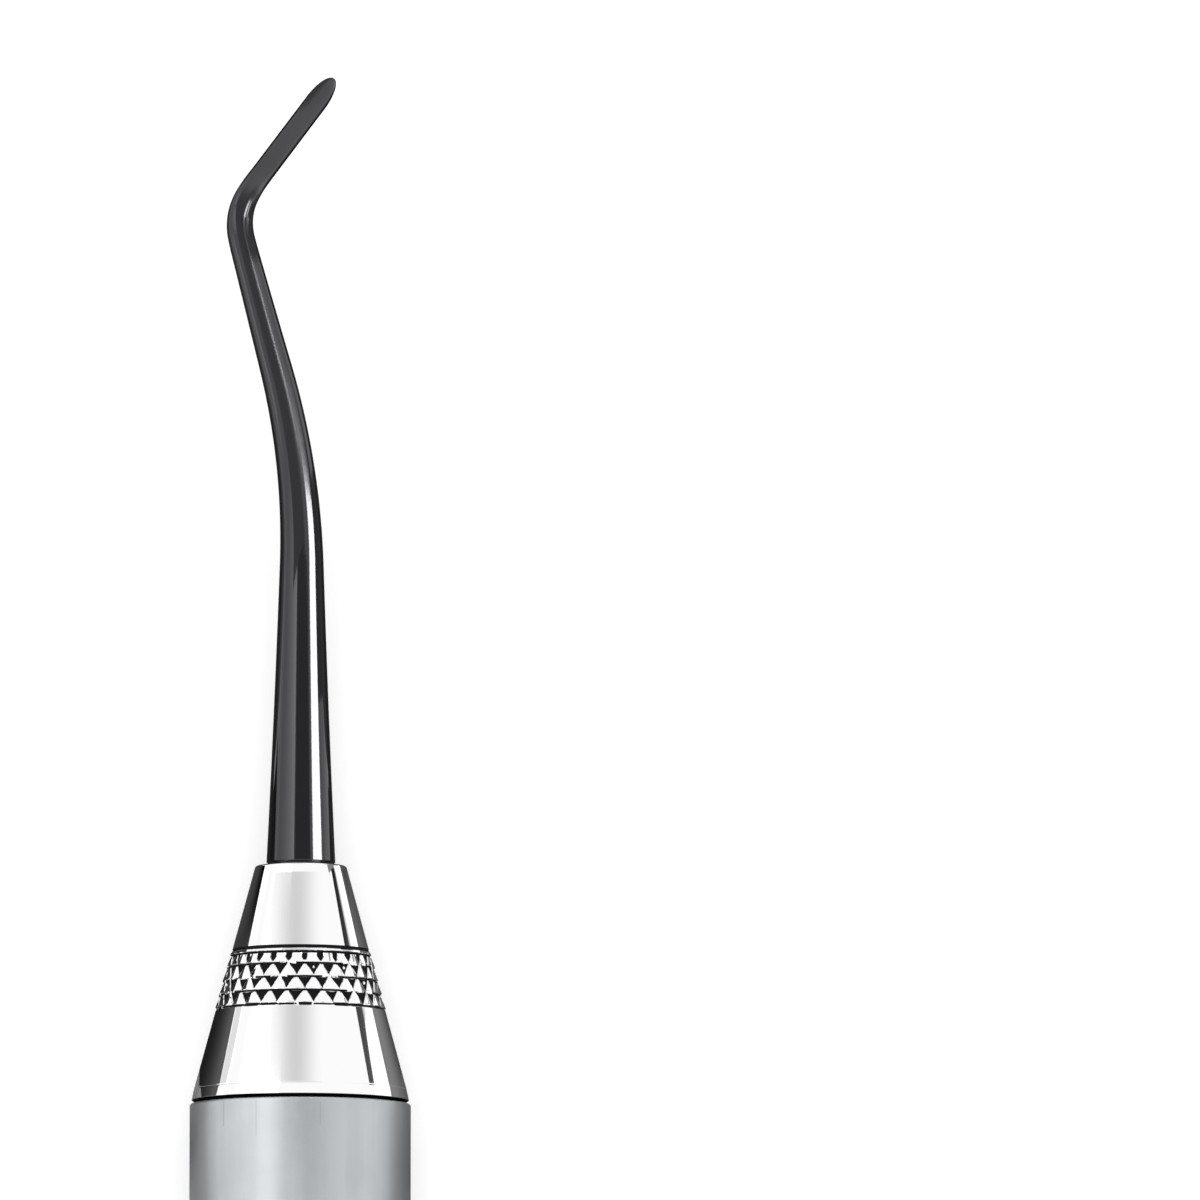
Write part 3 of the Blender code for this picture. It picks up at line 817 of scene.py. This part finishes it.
def makeCard(name, points, brightness, cover):
    # A sheet that only gloss sees, a painted reflection, from a grid of points with a brightness and a
    # cover at each.
    rows, columns = points.shape[:2]
    row, column = np.meshgrid(np.arange(rows - 1), np.arange(columns - 1), indexing="ij")
    first = (row * columns + column).ravel()
    faces = np.stack((first, first + 1, first + columns + 1, first + columns), axis=1)
    mesh = bpy.data.meshes.new(name)
    mesh.from_pydata(points.reshape(-1, 3).tolist(), [], faces.tolist())
    for label, values in (("brightness", brightness), ("cover", cover)):
        values = np.broadcast_to(values, (rows, columns)).astype(np.float32).ravel()
        mesh.attributes.new(label, "FLOAT", "POINT").data.foreach_set("value", values)
    mesh.materials.append(paintedReflectionMaterial)
    card = addObject(name, mesh)
    card.visible_camera = card.visible_diffuse = False
    card.visible_shadow = card.visible_transmission = False


def patch(corners, rows=12, columns=12):
    # Points spread evenly between four corners, and their two shares across the sheet.
    s, t = np.meshgrid(np.linspace(0, 1, rows), np.linspace(0, 1, columns), indexing="ij")
    a, b, c, d = (np.array(corner, float) for corner in corners)
    s3, t3 = s[..., None], t[..., None]
    return (a * (1 - t3) + b * t3) * (1 - s3) + (d * (1 - t3) + c * t3) * s3, s, t


def flatCard(name, corners, brightness, softness=0.0):
    # A card of one brightness, whose cover falls to 0 within a share of its breadth at two sides.
    points, _, t = patch(corners)
    cover = smoothStep(np.minimum(t, 1 - t) / softness) if softness else 1.0
    makeCard(name, points, brightness, cover)


def mirrorGrid(label, lateral, height):
    # Where the camera's view of the cone's upper side lands after reflection, on a level plane:
    # each view ray is turned about the cone's normal there, and followed up to the plane.
    side, baseX = ends[label], coneBase(label)
    along = np.linspace(-0.5 * mm, cone["length"] + 0.5 * mm, 14)[:, None]
    radius = coneRadius(along)
    y = np.broadcast_to(lateral[None, :], (len(along), len(lateral)))
    u = np.clip(y / radius, -0.72, 0.72)
    normal = np.stack((np.full_like(u, side * math.sin(coneSlope)), math.cos(coneSlope) * u,
                       math.cos(coneSlope) * np.sqrt(1 - u ** 2)), axis=-1)
    point = np.stack((np.broadcast_to(baseX + side * along, u.shape), u * radius,
                      axisHeight + radius * np.sqrt(1 - u ** 2)), axis=-1)
    eye = np.array([handleMiddle, 0, axisHeight + photo["height"]])
    view = eye - point
    view /= np.linalg.norm(view, axis=-1, keepdims=True)
    away = 2 * (normal * view).sum(axis=-1, keepdims=True) * normal - view
    rise = np.maximum(away[..., 2:], 0.12)
    return point + away * (height - point[..., 2:]) / rise


# Cards of one brightness at each end: corners as place along the handle and sideways, in metres, and
# the share of the breadth over which the two sides along the handle fade out.
floorGap = 0.3 * mm
flatCards = {
    "Flag": {
        "corners": ((0.058, 0.043), (0.058, -0.064), (0.085, -0.064), (0.085, 0.043)),
        "height": 0.10,
        "glow": 0.22,
        "softness": 0.03,
    },
    "UpperFlag": {
        "corners": ((0.0665, 0.0097), (0.0685, -0.0038), (0.090, -0.0020), (0.090, 0.0097)),
        "height": 0.015,
        "glow": 0.50,
        "softness": 0.06,
    },
    "ShankShadeMat": {
        "corners": ((0.053, 0.0085), (0.053, -0.0085), (0.100, -0.0085), (0.100, 0.0085)),
        "height": floorGap,
        "glow": 0.05,
        "softness": 0.0,
    },
    "NearShadeMat": {
        "corners": ((0.0575, -0.0085), (0.0628, -0.0214), (0.0755, -0.0214), (0.0725, -0.0085)),
        "height": floorGap,
        "glow": 0.22,
        "softness": 0.0,
    },
}

# The others, painted shade and painted reflections. A mat's glows are near the axis and furthest out, and
# the line's are at the cone's base and at its nose.
cards = {
    "softGrey": 0.35,  # how far the cones' soft grey band lies below white
    "bandHalfWidth": 1.25 * mm,
    "bandOffset": 0.22 * mm,
    "bandHeight": 0.30,
    "matEnds": (0.034, 0.052),  # where the cones' mats start and end beside the axis
    "matSlant": 0.53,  # how far they run forwards for each metre outwards
    "wideShadeMat": {
        "baseReach": 0.038, "noseReach": 0.017, "baseGlow": (0.012, 0.095), "noseGlow": (0.055, 0.003),
    },
    "slimShadeMat": {
        "baseReach": 0.0197, "noseReach": 0.010, "baseGlow": (0.030, 0.21), "noseGlow": (0.08, 0.10),
    },
    "fringe": {"end": 0.043, "reach": 0.16, "glow": 0.76},
    "line": {
        "fade": ((0.058, 0.032), (0.068, 0.032)),
        "near": ((0.0700, 0.058), (0.084, 0.058)),
        "far": ((0.110, 0.15), (0.136, 0.15)),
        "wallTop": 0.0175,
        "glow": (0.085, 0.012),
    },
    "leftFade": {
        "corners": ((0.058, 0.0085), (0.110, 0.0085), (0.110, 0.036), (0.0725, 0.036)),
        "glow": 0.12,
        "glowRise": 0.7,
    },
    "nearWallTop": 0.0113,
    "leftGlow": {"glow": 2.8, "distance": 0.9, "angles": (24.0, 80.0), "reach": (0.10, 0.8)},
    "handleShadeMat": {
        "glow": (0.26, 0.10),  # under the handle on the left and on the right
        "outerGlow": 0.96,
        "halfLengths": (0.043, 0.048),
        "reach": 0.09,
    },
}


def makeCards():
    # Every card at both ends, at the same distance outwards from the row's middle.
    c = cards
    for label, side in ends.items():
        def at(x, y, height=floorGap):
            # A point from an end's own place outwards, sideways place and height.
            return (side * x, y, height)

        def endCard(name):
            # One of the flat cards, at this end.
            card = flatCards[name]
            corners = [at(x, y, card["height"]) for x, y in card["corners"]]
            flatCard(label + name, corners, card["glow"], card["softness"])

        # A painted reflection: the soft grey band along each cone's middle, from a sheet laid out along
        # the mirror directions.
        offset = np.linspace(-1, 1, 41)
        lateral = side * c["bandOffset"] + offset * c["bandHalfWidth"]
        shade = 1 - c["softGrey"] * np.cos(offset * math.pi / 2) ** 2
        points = mirrorGrid(label, lateral, c["bandHeight"])
        makeCard(label + "Band", points, shade[None, :], 1.0)

        # Painted reflections: the dark stripe along the top of the shank, and a paler one above the first
        # bend.
        endCard("Flag")
        endCard("UpperFlag")

        # The cones' dark sides, painted shade: mats that run forwards as the reflections do, one wider
        # than the other.
        matStart, matEnd = c["matEnds"]
        slant = c["matSlant"]
        for name, hand, mat in (("ConeWideShadeMat", side, c["wideShadeMat"]), ("ConeSlimShadeMat", -side, c["slimShadeMat"])):
            base, nose = mat["baseReach"], mat["noseReach"]
            points, s, t = patch((at(matStart, 0), at(matEnd, 0), at(matEnd + slant * nose, hand * nose),
                                  at(matStart + slant * base, hand * base)), 24, 12)
            outwards = smoothStep((s - 0.2) / 0.6)
            glows = (mat["baseGlow"], mat["noseGlow"])
            atBase, atNose = (inner + (outer - inner) * outwards for inner, outer in glows)
            brightness = atBase + (atNose - atBase) * smoothStep((t - 0.45) / 0.35)
            makeCard(label + name, points, brightness, 1.0)
        near, far, end = c["wideShadeMat"]["baseReach"], c["fringe"]["reach"], c["fringe"]["end"]
        flatCard(label + "ConeFringe", (
            at(matStart + slant * near, side * near), at(end + slant * 0.8 * near, side * 0.8 * near),
            at(end + slant * 0.8 * far, side * 0.8 * far), at(matStart + slant * far, side * far),
        ), c["fringe"]["glow"])

        # A painted dark reflection: the thin dark line beside the slim one, from a mat further out and a
        # low wall at its end.
        line = c["line"]
        fade, near, far = ([at(x, -side * y) for x, y in line[part]] for part in ("fade", "near", "far"))
        wallTop = [(x, y, line["wallTop"]) for x, y, _ in far]
        points, _, t = patch((near[0], near[1], far[1], far[0]))
        glow = line["glow"][0] + (line["glow"][1] - line["glow"][0]) * smoothStep(t / 0.8)
        makeCard(label + "LineMat", points, glow, 1.0)
        points, _, _ = patch((far[0], far[1], wallTop[1], wallTop[0]))
        makeCard(label + "LineWall", points, glow, 1.0)
        points, s, _ = patch((fade[0], fade[1], near[1], near[0]))
        makeCard(label + "LineFade", points, 0.88 - 0.6 * smoothStep(s), 1.0)

        # Painted shade under and beside the shank.
        endCard("ShankShadeMat")
        fade = c["leftFade"]
        points, s, _ = patch([at(x, y) for x, y in fade["corners"]], 16, 4)
        makeCard(label + "LeftFade", points, fade["glow"] + fade["glowRise"] * s, (1 - s) ** 0.5)
        endCard("NearShadeMat")
        near, far = flatCards["NearShadeMat"]["corners"][1:3]
        top = c["nearWallTop"]
        flatCard(label + "NearWall", (at(*near), at(*far), at(*far, top), at(*near, top)),
                 flatCards["NearShadeMat"]["glow"])

        # A painted reflection: a pale glow high on the left, brightest overhead, with little of it over
        # the handle.
        glow = c["leftGlow"]
        distance, (near, far) = glow["distance"], glow["reach"]
        high, low = (math.radians(angle) for angle in glow["angles"])
        corners = [at(x, distance * math.sin(a), axisHeight + distance * math.cos(a))
                   for x, a in ((near, high), (far, high), (far, low), (near, low))]
        points, s, t = patch(corners, 24, 24)
        cover = (1 - s) ** 1.5 * smoothStep(t / 0.15) * smoothStep((1 - t) / 0.2)
        makeCard(label + "LeftGlow", points, glow["glow"], cover)

    # Painted shade under the handle, dark near it and paler outwards.
    mat = c["handleShadeMat"]
    near, far = mat["halfLengths"]
    for name, hand, dark in (("Left", 1, mat["glow"][0]), ("Right", -1, mat["glow"][1])):
        out = hand * mat["reach"]
        corners = ((-near, 0, floorGap), (near, 0, floorGap), (far, out, floorGap), (-far, out, floorGap))
        points, s, _ = patch(corners, 24, 4)
        brightness = dark + (mat["outerGlow"] - dark) * smoothStep(s / 0.8)
        makeCard("handleShadeMat" + name, points, brightness, smoothStep((1 - s) / 0.5))


# Hand is 1 on the camera's left of the handle and -1 on its right, reach is the place along the handle,
# and angles are in degrees from straight up. A turn sets the strip at a slant to the handle.
strips = {
    "narrowHighlight": {
        "end": "narrow", "brightness": 17.0, "distance": 0.5, "hand": -1,
        "reach": (0.110, 0.200), "angles": (42.0, 75.2), "turn": 0.0,
    },
    "narrowBend": {
        "end": "narrow", "brightness": 15.0, "distance": 0.5, "hand": -1,
        "reach": (0.236, 0.264), "angles": (22.0, 37.0), "turn": -18.0,
    },
    "wideHighlight": {
        "end": "wide", "brightness": 12.0, "distance": 0.5, "hand": -1,
        "reach": (-0.030, 0.209), "angles": (42.0, 75.2), "turn": 0.0,
    },
    "narrowUpperLine": {
        "end": "narrow", "brightness": 1.4, "distance": 0.3, "hand": 1,
        "reach": (0.000, 0.070), "angles": (67.0, 80.0), "turn": 0.0,
    },
}


def makeStrips():
    # Narrow lamps beside the ends, each of which lights one black piece only. A lamp's power is its
    # brightness times pi times its area.
    for name, strip in strips.items():
        side = ends[strip["end"]]
        receivers = bpy.data.collections.new(name + "Receivers")
        receivers.objects.link(pieces[strip["end"] + "End"])
        low, high = (math.radians(a) for a in strip["angles"])
        middle = (low + high) / 2
        length = strip["reach"][1] - strip["reach"][0]
        breadth = 2 * strip["distance"] * math.tan((high - low) / 2)
        lamp = bpy.data.lights.new(name, "AREA")
        lamp.shape = "RECTANGLE"
        lamp.size, lamp.size_y = length, breadth
        lamp.energy = strip["brightness"] * math.pi * length * breadth
        holder = addObject(name, lamp)
        sideways = strip["hand"] * strip["distance"] * math.sin(middle)
        up = strip["distance"] * math.cos(middle)
        holder.location = (side * sum(strip["reach"]) / 2, sideways, axisHeight + up)
        turned = Matrix.Rotation(math.radians(strip["turn"]), 4, "Z")
        holder.rotation_euler = (Matrix.Rotation(-strip["hand"] * middle, 4, "X") @ turned).to_euler()
        holder.visible_camera = holder.visible_diffuse = holder.visible_transmission = False
        holder.light_linking.receiver_collection = receivers


# Camera, straight above the handle's middle, looking at the narrow end as the photograph does

photo = {
    "size": 1200,
    "pixelsPerMm": 22.0,
    "nose": (301.7, 868.0),  # where the narrow cone's nose lies in the picture
    "height": 0.57,
}

paintedReflectionMaterial = cardMaterial()
makeFloor()
makeWorld()
makeLamp()
makeCards()
makeStrips()
print("studio made")


def makeCamera():
    # The lens is chosen so that the photograph's width spans its real width at the instrument.
    p = photo
    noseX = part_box("narrow_end_cone")[1].x
    half = p["size"] / 2
    lookAt = Vector((noseX + (p["nose"][1] - half) / p["pixelsPerMm"] * mm,
                     -(half - p["nose"][0]) / p["pixelsPerMm"] * mm, axisHeight))
    eye = Vector((handleMiddle, 0, axisHeight + p["height"]))
    back = (eye - lookAt).normalized()
    right = Vector((1, 0, 0)).cross(back).normalized()
    up = back.cross(right)
    camera = bpy.data.cameras.new("photoCamera")
    camera.sensor_width = 36.0
    camera.lens = camera.sensor_width * (eye - lookAt).length / (p["size"] / p["pixelsPerMm"] * mm)
    camera.clip_start, camera.clip_end = 0.01, 20.0
    holder = addObject("photoCamera", camera)
    holder.matrix_world = Matrix((right, up, back)).transposed().to_4x4()
    holder.location = eye
    bpy.context.scene.camera = holder


makeCamera()
bpy.context.scene.view_settings.view_transform = "Standard"
